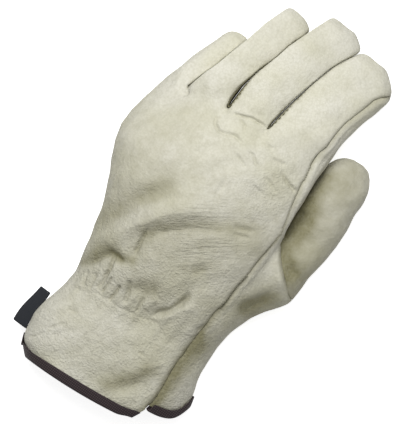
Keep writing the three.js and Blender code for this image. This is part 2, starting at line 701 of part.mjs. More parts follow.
// Flat ribbon label standing out of the little-finger side seam
function sideLabel() {
  const list = [];
  const triangles = [];
  const steps = 4;
  for (let i = 0; i <= steps; i += 1) {
    const y = mix(LABEL.fromY, LABEL.toY, i / steps);
    let x = Infinity;
    let z = 0;
    for (let r = 0; r < 5; r += 1) {
      backRows[r].slice(0, 8).forEach((id) => {
        const near = Math.abs(points[id].y - y) < 7;
        if (near && points[id].x < x) {
          x = points[id].x;
          z = points[id].z;
        }
      });
    }
    const reach = LABEL.reach + mix(0.7, -1.6, i / steps);
    for (let c = 0; c <= 2; c += 1) {
      const outX = x - LABEL.clear - (reach * c) / 2;
      const outZ = z - LABEL.droop * (c / 2) ** 2;
      list.push(new THREE.Vector3(outX, y, outZ + LABEL.thick / 2));
      list.push(new THREE.Vector3(outX, y, outZ - LABEL.thick / 2));
    }
  }
  const at = (i, c, side) => (i * 3 + c) * 2 + side;
  const quad = (a, b, c, d) => triangles.push(a, b, c, a, c, d);
  for (let i = 0; i < steps; i += 1) {
    for (let c = 0; c < 2; c += 1) {
      quad(at(i, c, 0), at(i + 1, c, 0), at(i + 1, c + 1, 0), at(i, c + 1, 0));
      quad(at(i, c, 1), at(i, c + 1, 1), at(i + 1, c + 1, 1), at(i + 1, c, 1));
    }
    quad(at(i, 0, 0), at(i, 0, 1), at(i + 1, 0, 1), at(i + 1, 0, 0));
    quad(at(i, 2, 1), at(i, 2, 0), at(i + 1, 2, 0), at(i + 1, 2, 1));
  }
  for (let c = 0; c < 2; c += 1) {
    quad(at(0, c, 0), at(0, c + 1, 0), at(0, c + 1, 1), at(0, c, 1));
    quad(at(steps, c, 1), at(steps, c + 1, 1), at(steps, c + 1, 0), at(steps, c, 0));
  }
  return finishMesh("side_label", list, triangles, ribbon);
}

const group = new THREE.Group();
group.add(panelSolid("back_panel", leather));
group.add(panelSolid("palm_panel", leather));
group.add(panelSolid("thumb", leather));
fourchettes.forEach(({ panel }) => group.add(panelSolid(panel, leather)));
group.add(hemBinding("back_hem_binding", hemEdge, hemMiddle));
const palmHem = [palmRows[0].strip[0], ...palmRows[0].thenar, ...palmRows[0].bottom.slice(1)];
const palmAbove = [palmRows[1].strip[0], ...palmRows[1].thenar, ...palmRows[1].bottom.slice(1)];
group.add(hemBinding("palm_hem_binding", palmHem, palmAbove));
group.add(sideLabel());

// Centre the glove over the origin, resting on z = 0
const box = new THREE.Box3().setFromObject(group);
const centre = box.getCenter(new THREE.Vector3());
group.children.forEach((mesh) => mesh.geometry.translate(-centre.x, -centre.y, -box.min.z));

export default group;
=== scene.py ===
"""Looks of a leather driver glove: grain, folds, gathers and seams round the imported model."""

import json
import logging
import math
from dataclasses import dataclass, field
from enum import Enum

import bmesh
import bpy
import numpy as np
from mathutils import Matrix, Vector
from mathutils.bvhtree import BVHTree
from mathutils.kdtree import KDTree

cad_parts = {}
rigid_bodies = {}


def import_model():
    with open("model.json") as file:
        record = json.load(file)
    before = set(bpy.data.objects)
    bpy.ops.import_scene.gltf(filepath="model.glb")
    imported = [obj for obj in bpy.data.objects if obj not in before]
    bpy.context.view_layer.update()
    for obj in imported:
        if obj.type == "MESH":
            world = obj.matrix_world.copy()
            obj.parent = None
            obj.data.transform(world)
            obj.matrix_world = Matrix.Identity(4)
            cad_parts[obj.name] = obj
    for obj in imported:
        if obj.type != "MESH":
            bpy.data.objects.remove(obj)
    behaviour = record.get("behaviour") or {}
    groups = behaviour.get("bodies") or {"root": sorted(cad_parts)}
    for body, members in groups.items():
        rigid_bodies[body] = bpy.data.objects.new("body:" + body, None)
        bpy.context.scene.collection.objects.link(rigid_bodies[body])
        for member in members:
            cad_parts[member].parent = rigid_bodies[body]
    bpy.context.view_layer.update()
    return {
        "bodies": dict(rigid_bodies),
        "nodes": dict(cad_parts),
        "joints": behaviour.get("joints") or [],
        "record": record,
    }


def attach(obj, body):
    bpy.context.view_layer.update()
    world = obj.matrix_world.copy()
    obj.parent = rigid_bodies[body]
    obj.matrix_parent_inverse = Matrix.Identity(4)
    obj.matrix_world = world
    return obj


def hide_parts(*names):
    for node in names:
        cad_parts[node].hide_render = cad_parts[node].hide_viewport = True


log = logging.getLogger("glove")

# A Run is a bent line in the plan, and a Ramp is where something starts to rise and over what length.
Run = list[tuple[float, float]]
Ramp = tuple[float, float]
Colour = tuple[float, float, float]
Tree = bpy.types.NodeTree
Socket = bpy.types.NodeSocket

MM = 0.001
WALL = 1.2 * MM
WALL_MATCH = 0.004 * MM
MERGE = 0.02 * MM
# Places in the plan are in millimetres from the middle of the hem; this carries them to the model.
PLAN_SHIFT = (3.004, -121.307)
# How the slow and the quick waves of a fold's drift are weighed.
DRIFT_SLOW = 0.36
DRIFT_QUICK = 0.14
# A fold: its depth for a height of 1, what is left of it at its ends, the share of it that tails
# off slowly, and, in fold widths, how wide that tail is and how far to the side the crest stands.
FOLD_DEPTH = 1.7
FOLD_END = 0.04
TAIL_SHARE = 0.25
TAIL_WIDTH = 1.3
CREST_PLACE = 1.9
# Sewing: how far a panel's edge looks for its neighbour, the gap that stays, how far in from the
# edge the leather follows, and over what length a seam's way out is averaged.
SEAM_REACH = 1.8 * MM
SEAM_GAP = 0.05 * MM
SEAM_SPREAD = 1.6 * MM
SEAM_JOIN = 0.7 * MM
PHOTO_SCALE = 0.55 * MM
PHOTO_SIZE = (403, 424)
PHOTO_TURN = math.radians(36)


class Skin(Enum):
    """The sides of a leather wall."""

    OUTER = 1
    RIM = 2
    INNER = 4


def deselect() -> None:
    """Leave nothing selected."""
    for item in bpy.context.selected_objects:
        item.select_set(False)


def pick(obj: bpy.types.Object) -> None:
    """Select one object alone and make it active.

    Args:
        obj: The object to work on.
    """
    deselect()
    obj.select_set(True)
    bpy.context.view_layer.objects.active = obj


def read_rows(items: bpy.types.bpy_prop_collection, name: str) -> np.ndarray:
    """Read a place or a direction from each item of a mesh.

    Args:
        items: The mesh's vertices or vertex normals.
        name: What to read of each.

    Returns:
        One row of x, y and z for each item.
    """
    flat = np.empty(len(items) * 3)
    items.foreach_get(name, flat)
    return flat.reshape(-1, 3)


def mark(mesh: bpy.types.Mesh, name: str, values: np.ndarray) -> None:
    """Store one value for each point of a mesh, for its material to read."""
    layer = mesh.attributes.new(name, "FLOAT", "POINT")
    layer.data.foreach_set("value", values.astype(np.float32))


def clean_cage(mesh: bpy.types.Mesh) -> bmesh.types.BMesh:
    """Merge a CAD solid's loose triangles into one closed skin.

    Args:
        mesh: A copy of the solid's mesh.

    Returns:
        The merged skin, with its faces pointing outwards.
    """
    cage = bmesh.new()
    cage.from_mesh(mesh)
    bmesh.ops.remove_doubles(cage, verts=cage.verts, dist=MERGE)
    bmesh.ops.recalc_face_normals(cage, faces=cage.faces)
    return cage


def pair_triangles(cage: bmesh.types.BMesh) -> None:
    """Join the triangles two by two into four-sided faces."""
    angles = {"angle_face_threshold": math.pi, "angle_shape_threshold": math.pi}
    bmesh.ops.join_triangles(cage, faces=cage.faces, cmp_seam=False, **angles)


def connected(left: set[bmesh.types.BMFace]) -> list[set[bmesh.types.BMFace]]:
    """Part faces into the sets that hang together by their edges.

    Args:
        left: The faces to part; the set is used up.

    Returns:
        The sets of faces.
    """
    parts = []
    while left:
        start = left.pop()
        found = {start}
        queue = [start]
        while queue:
            for edge in queue.pop().edges:
                for other in edge.link_faces:
                    if other in left:
                        left.discard(other)
                        found.add(other)
                        queue.append(other)
        parts.append(found)
    return parts


def refine(obj: bpy.types.Object, levels: int) -> None:
    """Round an object with a subdivision surface and apply it.

    Args:
        obj: The object.
        levels: How often each face is divided.
    """
    pick(obj)
    rounding = obj.modifiers.new("refine", "SUBSURF")
    rounding.levels = levels
    rounding.render_levels = levels
    bpy.ops.object.modifier_apply(modifier=rounding.name)


def dress(obj: bpy.types.Object, node: str, mat: bpy.types.Material) -> None:
    """Give a piece its finish and let it stand for its CAD solid.

    Args:
        obj: The finished piece.
        node: The CAD node that it replaces.
        mat: Its material.
    """
    obj.data.materials.clear()
    obj.data.materials.append(mat)
    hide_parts(node)
    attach(obj, "root")
    log.info("%s: %d faces", obj.name, len(obj.data.polygons))


def smooth(t: np.ndarray) -> np.ndarray:
    """Ease values from 0 to 1; they are clipped to that range first."""
    t = np.clip(t, 0.0, 1.0)
    return t * t * (3 - 2 * t)


def rise(t: np.ndarray, ramp: Ramp) -> np.ndarray:
    """Ease from 0 to 1, from the ramp's start on and over its length."""
    return smooth((t - ramp[0]) / ramp[1])


def bell(t: np.ndarray, power: float = 2) -> np.ndarray:
    """Give 1 where t is 0, and less and less on both sides of it."""
    return np.exp(-(np.abs(t) ** power))


def wander(x: np.ndarray, y: np.ndarray, phase: float) -> np.ndarray:
    """Give a slow uneven drift, so that no fold runs straight.

    The waves' lengths have no common multiple, so the pattern doesn't come back.

    Args:
        x: Plan x of the points, in millimetres.
        y: Plan y of the points, in millimetres.
        phase: Shifts the pattern.

    Returns:
        The drift, about -1 to 1.
    """
    slow = np.sin(x / 2.9 + 1.7 * np.sin(y / 4.3 + phase)) + np.sin(y / 2.3 - x / 5.1 + 2 * phase)
    quick = np.sin(x / 1.1 + y / 1.7 + phase) + np.sin(y / 0.9 - x / 1.3 + 3 * phase)
    return DRIFT_SLOW * slow + DRIFT_QUICK * quick


def run_length(run: Run) -> float:
    """Give the length of a bent line."""
    return sum(math.dist(a, b) for a, b in zip(run, run[1:]))


@dataclass(frozen=True)
class RunPlace:
    """Where points lie against a bent line in the plan.

    The distance is more than 0 on the left of the line, along goes from 0 to 1, and off_x and
    off_y lead from the nearest place of the line to the point.
    """

    distance: np.ndarray
    along: np.ndarray
    off_x: np.ndarray
    off_y: np.ndarray


def measure_run(run: Run, x: np.ndarray, y: np.ndarray) -> RunPlace:
    """Measure points against a bent line.

    Args:
        run: The line's points.
        x: The points' x in millimetres.
        y: The points' y in millimetres.

    Returns:
        Where each point lies.
    """
    best = np.full(x.shape, np.inf)
    side, along, off_x, off_y = (np.zeros(x.shape) for _ in range(4))
    total = run_length(run)
    start = 0.0
    for (ax, ay), (bx, by) in zip(run, run[1:]):
        span = math.dist((ax, ay), (bx, by))
        ux, uy = (bx - ax) / span, (by - ay) / span
        t = np.clip((x - ax) * ux + (y - ay) * uy, 0, span)
        dx, dy = x - (ax + t * ux), y - (ay + t * uy)
        far = np.hypot(dx, dy)
        near = far < best
        best = np.where(near, far, best)
        side = np.where(near, np.sign(ux * dy - uy * dx), side)
        along = np.where(near, (start + t) / total, along)
        off_x = np.where(near, dx, off_x)
        off_y = np.where(near, dy, off_y)
        start += span
    return RunPlace(best * side, along, off_x, off_y)


@dataclass(frozen=True)
class Patch:
    """A soft round spot of the plan, strongest at its middle."""

    middle: tuple[float, float]
    reach: tuple[float, float]

    def share(self, x: np.ndarray, y: np.ndarray) -> np.ndarray:
        """Give the spot's strength at each point, 1 at its middle."""
        return bell((x - self.middle[0]) / self.reach[0]) * bell((y - self.middle[1]) / self.reach[1])


@dataclass(frozen=True)
class Fold:
    """One fold, crease or dent of the leather, drawn in the plan.

    The crest stands on the left of the run, as a share of the height, and a higher fade lets the
    fold end more suddenly.
    """

    run: Run
    width: float
    height: float
    crest: float = 0.0
    fade: float = 3.0

    def lift(self, x: np.ndarray, y: np.ndarray) -> np.ndarray:
        """Give the height that the fold adds.

        Args:
            x: Plan x of the points, in millimetres.
            y: Plan y of the points, in millimetres.

        Returns:
            The height in millimetres.
        """
        place = measure_run(self.run, x, y)
        across = place.distance / self.width
        fade = smooth(np.minimum(place.along, 1 - place.along) * self.fade + FOLD_END)
        body = (1 - TAIL_SHARE) * bell(across) + TAIL_SHARE * bell(across / TAIL_WIDTH, 1)
        return FOLD_DEPTH * self.height * fade * (body - self.crest * bell(across - CREST_PLACE))


# Each row gives the fold's run, width and height, and where it has them its crest and its fade.
WIDE_FOLDS = [
    Fold(
        [(-49, 70.5), (-46.5, 82), (-42, 92.5), (-37, 102.5), (-32.5, 110.5), (-27, 119), (-21.5, 126)],
        5.2, -1.15,
    ),
    Fold(
        [(-43, 64), (-39.5, 74), (-35, 82.5), (-30.5, 92), (-26, 99.5), (-20, 107), (-12, 114.5),
         (-3.5, 120), (8.5, 124.5)],
        5.2, 1.6,
    ),
    Fold(
        [(-22, 86), (-19.5, 93.5), (-15, 98.5), (-8.5, 104.5), (-1.5, 109.5), (7, 115), (14.5, 119.5)],
        2.2, -0.6,
    ),
    Fold([(11, 120.5), (16, 122.5), (20.5, 124.5), (25.5, 127)], 1.4, -0.45, 0.2),
    Fold([(-2, 100.5), (8.5, 110), (20, 117.5)], 6, 0.3),
    Fold([(-15, 61), (-8.5, 63), (-3, 66.5), (2.5, 66.5)], 4.5, -1),
    Fold([(6.5, 87.5), (11.5, 90), (15.5, 95)], 3, -0.6),
    Fold([(-20.5, 77.5), (-14, 80), (-6.5, 83.5)], 4, 0.6),
    Fold([(-7.5, 141.5), (-5.5, 136), (-5.5, 130.5), (0, 126.5)], 1.2, -0.4, 0.3),
]
WRIST_CREASES = [
    Fold([(-41.5, 54), (-39, 60), (-36.5, 66.5), (-33.5, 70.5), (-27.5, 70.5), (-21, 72)], 2.1, -2),
    Fold([(-25, 95.5), (-24.5, 91), (-24, 85.5), (-23, 79), (-22, 74.5)], 1.2, -1.4),
    Fold([(3.5, 53), (7, 59), (11.5, 64), (14, 70.5), (15, 76), (16, 80)], 1.6, -1.8),
    Fold([(7, 53.5), (12.5, 60.5), (18, 69.5), (23, 76)], 2, 0.7),
    Fold([(37, 75.5), (34.5, 70.5), (31.5, 66.5), (28.5, 61.5)], 1.4, -0.9, 0.3),
    Fold([(37, 68.5), (34.5, 64), (32, 60), (28.5, 56)], 1.3, -0.8, 0.3),
    Fold([(13, 79.5), (14, 75.5), (14, 72)], 1.2, -0.3),
    Fold([(13.5, 118.5), (18.5, 119.5), (24.5, 122.5)], 1, -0.4, 0.3),
]
PUCKERS = [
    Fold([(-33, 71.5), (-30, 66.5), (-29, 62), (-28.5, 57.5), (-28, 53), (-28, 49)], 1.1, -1.3, 0, 6),
    Fold([(-25, 60), (-25, 54.5), (-25, 49)], 0.9, -1, 0, 6),
    Fold([(-19, 59.5), (-18.5, 53.5), (-19, 48)], 1, -1.25, 0, 6),
    Fold([(-16, 65), (-13.5, 59), (-10.5, 51.5)], 1.2, -1, 0, 6),
    Fold([(-38, 55.5), (-37, 50.5), (-35.5, 46)], 0.9, -0.7, 0, 6),
    Fold([(-34, 57), (-32.5, 52.5), (-31.5, 47)], 0.9, -0.8, 0, 6),
    Fold([(-4.5, 61.5), (-3.5, 56.5), (-3, 51.5)], 1.3, -0.8, 0, 6),
    Fold([(2, 65.5), (1, 60.5), (0.5, 56)], 1.9, 0.7, 0, 5),
    Fold([(-9.5, 62), (-8, 56)], 1.7, 0.6, 0, 5),
]
KNUCKLE_CREASES = [
    Fold(
        [(-26, 169.5), (-22.5, 172), (-18.5, 173.5), (-14, 175.5), (-9.5, 176.5), (-3.5, 176)],
        0.8, -0.85, 0.4,
    ),
    Fold(
        [(-29.5, 169), (-30.5, 164.5), (-28.5, 161), (-25, 159), (-20.5, 160.5), (-16, 162.5),
         (-11.5, 161.5), (-6.5, 159.5)],
        0.85, -0.8, 0.4,
    ),
    Fold([(-6.5, 159.5), (-1.5, 159.5), (2, 157), (5.5, 156)], 0.85, -0.6, 0.4),
    Fold([(15, 162), (21.5, 159), (28, 157), (30.5, 159.5)], 0.85, -1, 0.4),
    Fold([(-2.5, 169.5), (2, 168.5), (6.5, 169)], 0.8, -0.5, 0.4),
    Fold([(-12, 154.5), (-6, 153.5), (0, 151)], 0.8, -0.45, 0.4),
    Fold([(-20.5, 171.5), (-15, 170), (-13.5, 167)], 0.8, -0.5, 0.4),
    Fold([(-54, 164), (-51.5, 165), (-50.5, 168)], 0.8, -0.9, 0.4),
    Fold([(9, 153.5), (15, 152.5), (21, 150)], 0.9, -0.5, 0.4),
    Fold([(6.5, 164), (12, 164.5), (17.5, 166)], 0.9, -0.5, 0.4),
    Fold([(5.5, 147), (11, 145.5), (17, 145.5)], 0.9, -0.4, 0.4),
]
CUFF_DENTS = [
    Fold([(10, 9.5), (17, 16.5), (23, 25.5)], 3.8, -0.8),
    Fold([(27, 40), (21.5, 33), (16, 27.5)], 1.2, 0.4),
    Fold([(-29.5, 34), (-35.5, 31)], 1.7, -0.6),
    Fold([(-44, 5.5), (-40, 9.5), (-37, 14)], 0.9, -0.6),
    Fold([(-38, 15), (-34.5, 20.5), (-30.5, 26)], 0.8, -0.4),
    Fold([(14.5, 35.5), (10.5, 35)], 0.9, -0.45, 0.4),
    Fold([(-35, 43.5), (-38, 44)], 1.1, -0.5),
    Fold([(-34, 14), (-29, 18.5)], 1.7, -0.4),
]
GATHER_LINE = Fold(
    [(-46, 42), (-34, 44), (-26, 48), (-12, 49), (-4, 50.5), (10, 54), (17, 50.5), (31, 48.5)],
    1.0, -0.3,
)
THENAR_FOLDS = [
    Fold([(37.5, 123.5), (46.5, 115.5), (56.5, 107.5)], 2.6, 1.0),
    Fold([(43, 80), (49, 94), (54, 106)], 5.0, -1.6),
    Fold([(37, 127), (35.5, 110), (34.5, 97.5), (33.5, 85)], 1.6, 0.5),
]
THUMB_FOLDS = [
    Fold([(37, 137), (41, 128), (46, 123), (53, 119.5), (61, 117)], 4.0, -1.8),
    Fold([(39, 152), (41.5, 147), (43, 142)], 4.5, -1.2),
]


@dataclass(frozen=True)
class ShadeBand:
    """A stretch of leather darkened with painted shade."""

    run: Run
    width: float
    amount: float

    def depth(self, x: np.ndarray, y: np.ndarray) -> np.ndarray:
        """Give how dark the stretch is at each point, 0 to its own amount."""
        return self.amount * bell(measure_run(self.run, x, y).distance / self.width)


# Each row gives the stretch's run, width and amount.
# Painted shade on the back: its hollows and creases, the dented cuff and the flank turned from the light.
BACK_SHADE = [
    ShadeBand([(-51, 80.5), (-47, 90), (-42, 100), (-36.5, 111), (-31.5, 121)], 6.5, 0.2),
    ShadeBand(
        [(-23.5, 91), (-20, 97.5), (-13.5, 103.5), (-3, 112), (6, 116.5), (13.5, 120.5), (23.5, 127.5)],
        4.2, 0.3,
    ),
    ShadeBand(
        [(-43.5, 57), (-40.5, 63.5), (-39, 69), (-36.5, 71.5), (-32.5, 71.5), (-27.5, 71.5), (-22, 73.5)],
        3.2, 0.5,
    ),
    ShadeBand([(-18, 85.5), (-6, 97), (12, 109.5), (30.5, 120)], 8, 0.14),
    ShadeBand([(-15, 63), (-10, 65.5), (-5, 67.5), (0, 67.5)], 5.5, 0.24),
    ShadeBand([(5.5, 89), (10.5, 91.5), (14, 96)], 4.5, 0.18),
    ShadeBand([(7.5, 11.5), (13.5, 18.5), (19, 25.5), (21.5, 31)], 5.5, 0.6),
    ShadeBand([(31.5, 17.5), (32, 28), (31, 40.5), (31.5, 51.5)], 2.6, 0.16),
    ShadeBand([(-18, 14), (-13, 22.5)], 5, 0.1),
    ShadeBand([(-49.5, 128.5), (-43, 143.5), (-42, 156)], 9, 0.1),
]
# Painted shade on the palm's strip by the cuff and in the hollow below the thumb, turned from the light.
PALM_SHADE = [
    ShadeBand([(35.5, 19), (36, 31.5), (35.5, 43.5), (35, 58)], 6, 0.72),
    ShadeBand([(38, 59.5), (40.5, 75), (47.5, 89)], 6, 0.24),
    ShadeBand([(44.5, 91), (50, 97), (53, 102)], 5.8, 0.56),
]
# Painted shadow of the hand on the thumb's flank, and painted shade in its dent and the hollow at its foot.
THUMB_SHADE = [
    ShadeBand([(39, 174), (39.5, 166), (40, 156.5), (42, 146), (43.5, 135)], 5.5, 0.5),
    ShadeBand([(42, 151.5), (44, 142)], 7, 0.5),
    ShadeBand([(42, 127), (48.5, 123.5), (54.5, 119.5)], 5.2, 0.6),
    ShadeBand([(48, 185.5), (49, 177), (50, 169.5)], 6, 0.3),
]


@dataclass(frozen=True)
class TipFill:
    """A fingertip that is filled out: its spot in the plan, and how far and which way it goes."""

    spot: Patch
    way: tuple[float, float]


TIP_FILL = [
    TipFill(Patch((28.5, 241), (9, 9)), (0.91, 1.75)),
    TipFill(Patch((3, 245.5), (8, 8)), (1.04, 1.57)),
    TipFill(Patch((-24.5, 236.5), (7, 7)), (0.46, 1.42)),
    TipFill(Patch((-44, 211.5), (6, 6)), (0.39, 0.96)),
]
HEM_CORNER = (-43.5, 2)
# The flank of the hand that the thumb leans against, how its push starts and ends along that line,
# as shares of it, and how far into the thumb it is felt.
HAND_SIDE = [(41, 112), (39, 130), (38, 148), (35.5, 165), (33, 188)]
LEAN_START = 0.22
LEAN_END = 0.6
LEAN_DEPTH = 9.0


@dataclass(frozen=True)
class Slit:
    """The slit between two fingers, whose sides lie almost together.

    Its line is in millimetres of the model's own plan. A pair of middle_height or close gives the
    value at the slit's foot and towards its end. The seams show over the length shown, and beyond
    it by the share rest. The low ramp goes by height, the clear ramp by the distance from the slit,
    and the others along it.
    """

    line: Run
    middle_height: tuple[float, float]
    close: tuple[float, float]
    raise_edge: float
    shown: float
    rest: float
    reach: float = 10.0
    hide_over: float = 10.0
    clear_ramp: Ramp = (4.0, 4.0)
    foot_lead: float = 6.0
    tip_lead: float = 12.0
    close_over: float = 0.55
    shut: float = 0.995
    low_ramp: Ramp = (-3.0, 7.0)
    foot_ramp: Ramp = (-5.0, 6.0)
    edge_height: float = 7.0
    edge_width: float = 5.5
    edge_ramp: Ramp = (-3.0, 8.0)
    edge_end: float = 2.0

    def showing(self, x: np.ndarray, y: np.ndarray) -> np.ndarray:
        """Tell how much of the slit's seams shows, less where the fingers lie close.

        Args:
            x: The points' x in millimetres.
            y: The points' y in millimetres.

        Returns:
            1 away from the slit and at its foot, and down to the slit's own rest further up.
        """
        place = measure_run(self.line, x, y)
        hidden = rise(place.along * run_length(self.line), (self.shown, self.hide_over))
        return 1 - (1 - self.rest) * hidden * (1 - smooth(np.abs(place.distance) / self.reach))

    def clear(self, x: np.ndarray, y: np.ndarray) -> np.ndarray:
        """Tell which points lie clear of the slit: 0 at the slit and 1 well away from it."""
        return rise(np.abs(measure_run(self.line, x, y).distance), self.clear_ramp)

    def draw_in(self, co: np.ndarray) -> None:
        """Draw both sides of the slit towards its middle line and raise their upper edges.

        Args:
            co: The points to move, in metres; they are changed in place.
        """
        points = [Vector(point) for point in self.line]
        behind = points[0] - (points[1] - points[0]).normalized() * self.foot_lead
        ahead = points[-1] + (points[-1] - points[-2]).normalized() * self.tip_lead
        run = [tuple(behind), *self.line, tuple(ahead)]
        x, y, z = (co / MM).T
        place = measure_run(run, x, y)
        far = np.abs(place.distance)
        length = run_length(self.line)
        up = place.along * run_length(run) - self.foot_lead
        foot, end = self.middle_height
        above = z - (foot + (end - foot) * np.clip(up / length, 0, 1))
        foot, end = self.close
        closing = foot + (end - foot) * smooth(up / (self.close_over * length))
        low = 1 - rise(above, self.low_ramp)
        closing = (closing + np.maximum(self.shut - closing, 0) * low) * rise(up, self.foot_ramp)
        pull = closing * (1 - smooth(far / self.reach)) * MM
        edge = rise(up, self.edge_ramp) * smooth((length + self.edge_end - up) / self.edge_ramp[1])
        edge *= smooth(above / self.edge_height) * (1 - smooth(far / self.edge_width))
        co[:, 0] -= place.off_x * pull
        co[:, 1] -= place.off_y * pull
        co[:, 2] += self.raise_edge * edge * MM


SLITS = [
    Slit(
        [(-49.4, 50), (-46.9, 60), (-44.2, 67), (-41.5, 78), (-38.3, 90), (-36, 101), (-33.7, 108)],
        middle_height=(14, 9), close=(0.95, 1.0), raise_edge=1.3, shown=5, rest=0.05,
    ),
    Slit(
        [(-25.5, 52), (-25.5, 66), (-23.4, 78), (-19.8, 90), (-18.2, 98), (-14.8, 108), (-10.4, 120)],
        middle_height=(23, 10), close=(0.35, 1.0), raise_edge=1.6, shown=30, rest=0.1,
    ),
    Slit(
        [(-0.8, 54), (0.2, 66), (2, 78), (4.6, 90), (7.9, 102), (10.3, 108), (13.4, 114)],
        middle_height=(26, 11), close=(0.75, 0.99), raise_edge=2.0, shown=20, rest=0.35,
    ),
]


@dataclass
class FoldMap:
    """The folds, the painted shade and the natural unevenness of one panel's leather.

    The base tone is painted shade over the whole panel, the hand tone painted shade in a wide band
    across the hand and the crease tone painted shade in the creases. Each row of ripples gives a
    wave's length and its height.
    """

    folds: list[Fold] = field(default_factory=list)
    tones: list[ShadeBand] = field(default_factory=list)
    base_tone: float = 0.0
    drift: float = 0.28
    unevenness: float = 0.2
    knuckle: Patch = Patch((16, 148), (14, 16))
    knuckle_grain: float = 0.5
    finger_grain: float = 0.3
    grain_ramp: Ramp = (60, 80)
    strained: Patch = Patch((2, 104), (22, 20))
    hand_middle: float = 94.0
    hand_reach: float = 62.0
    hand_tone: float = 0.32
    crease_depth: float = 2.5
    crease_tone: float = 0.2
    seed: int = 4
    ripples: tuple[tuple[float, float], ...] = ((31, 0.3), (17, 0.2), (9.5, 0.12), (5.5, 0.06))
    waves_each: int = 4
    ripple_share: float = 0.5

    def height(self, x: np.ndarray, y: np.ndarray) -> np.ndarray:
        """Add up the folds.

        Args:
            x: Plan x of the points, in millimetres.
            y: Plan y of the points, in millimetres.

        Returns:
            The total height in millimetres.
        """
        total = np.zeros(x.shape)
        bent_x = x + self.drift * wander(x, y, phase=0.4)
        bent_y = y + self.drift * wander(x, y, phase=2.1)
        for fold in self.folds:
            total += fold.lift(bent_x, bent_y)
        return total * (1 + self.unevenness * wander(y, x, phase=4.0))

    def coarseness(self, x: np.ndarray, y: np.ndarray) -> np.ndarray:
        """Tell how coarse the grain is, 0 to 1, most at the cuff and least on the fingers."""
        cuff = (1 - self.finger_grain) * (1 - rise(y, self.grain_ramp))
        return np.clip(self.finger_grain + cuff + self.knuckle_grain * self.knuckle.share(x, y), 0, 1)

    def darkening(self, x: np.ndarray, y: np.ndarray, height: np.ndarray) -> np.ndarray:
        """Add up the painted shade: over the panel, across the hand, in the creases and in the bands.

        Args:
            x: Plan x of the points, in millimetres.
            y: Plan y of the points, in millimetres.
            height: What the folds add at the points, in millimetres.

        Returns:
            The darkening, 0 to 1.
        """
        total = self.base_tone + self.hand_tone * bell((y - self.hand_middle) / self.hand_reach)
        total += self.crease_tone * smooth(-height / self.crease_depth)
        for tone in self.tones:
            total += tone.depth(x, y)
        return np.clip(total, 0, 1)

    def ripple(self, x: np.ndarray, y: np.ndarray, z: np.ndarray) -> np.ndarray:
        """Give the slight unevenness of a soft hide.

        Args:
            x: Plan x of the points, in millimetres.
            y: Plan y of the points, in millimetres.
            z: Height of the points, in millimetres.

        Returns:
            The height in millimetres.
        """
        rng = np.random.default_rng(self.seed)
        total = np.zeros(x.shape)
        for wave, size in self.ripples:
            for _ in range(self.waves_each):
                way = rng.normal(size=3)
                way /= np.linalg.norm(way)
                phase = rng.uniform(0, 2 * math.pi)
                total += size * np.sin((x * way[0] + y * way[1] + z * way[2]) * 2 * math.pi / wave + phase)
        return total * self.ripple_share


def skin_kinds(mesh: bpy.types.Mesh) -> dict[int, int]:
    """Tell which skins each vertex belongs to.

    Args:
        mesh: A panel's mesh.

    Returns:
        The sum of the skins' numbers for each vertex.
    """
    skins = np.empty(len(mesh.polygons), dtype=np.int32)
    mesh.attributes["skin"].data.foreach_get("value", skins)
    kinds: dict[int, int] = {}
    for face in mesh.polygons:
        for vert in face.vertices:
            kinds[vert] = kinds.get(vert, 0) | int(skins[face.index])
    return kinds


@dataclass
class Seams:
    """The seam lines of the sewn panels, with the mean way out of the leather at each point."""

    tree: KDTree
    ways: list[Vector]

    def measure(self, at: np.ndarray) -> tuple[np.ndarray, np.ndarray]:
        """Measure points against the seams.

        Args:
            at: The points, in metres.

        Returns:
            Each point's distance to its seam in millimetres, and the seam's way out there.
        """
        far = np.empty(len(at))
        way = np.empty(at.shape)
        for i, point in enumerate(at):
            _, near, gap = self.tree.find(Vector(point))
            far[i] = gap / MM
            way[i] = self.ways[near]
        return far, way


def sewn_places(panel: bpy.types.Object, kinds: dict[int, int], others: list[BVHTree]) -> np.ndarray:
    """Find where a panel's points go when its edges are drawn halfway to its neighbours.

    Args:
        panel: The panel.
        kinds: The skins that each of its points belongs to.
        others: The other panels' surfaces.

    Returns:
        The new places, in metres.
    """
    co = read_rows(panel.data.vertices, "co")
    shift = np.zeros(co.shape)
    edge = KDTree(len(co))
    rim = [i for i, kind in kinds.items() if kind & Skin.RIM.value]
    for i in rim:
        here = Vector(co[i])
        finds = [other.find_nearest(here, SEAM_REACH) for other in others]
        finds = [found for found in finds if found[0] is not None]
        if finds:
            place, _, _, gap = min(finds, key=lambda found: found[3])
            if gap > SEAM_GAP:
                shift[i] = np.array(place - here) / 2 * (1 - SEAM_GAP / gap)
        edge.insert(here, i)
    edge.balance()
    for i in set(range(len(co))) - set(rim):
        _, near, far = edge.find(Vector(co[i]))
        if far < SEAM_SPREAD:
            shift[i] = shift[near] * (1 - far / SEAM_SPREAD)
    return co + shift


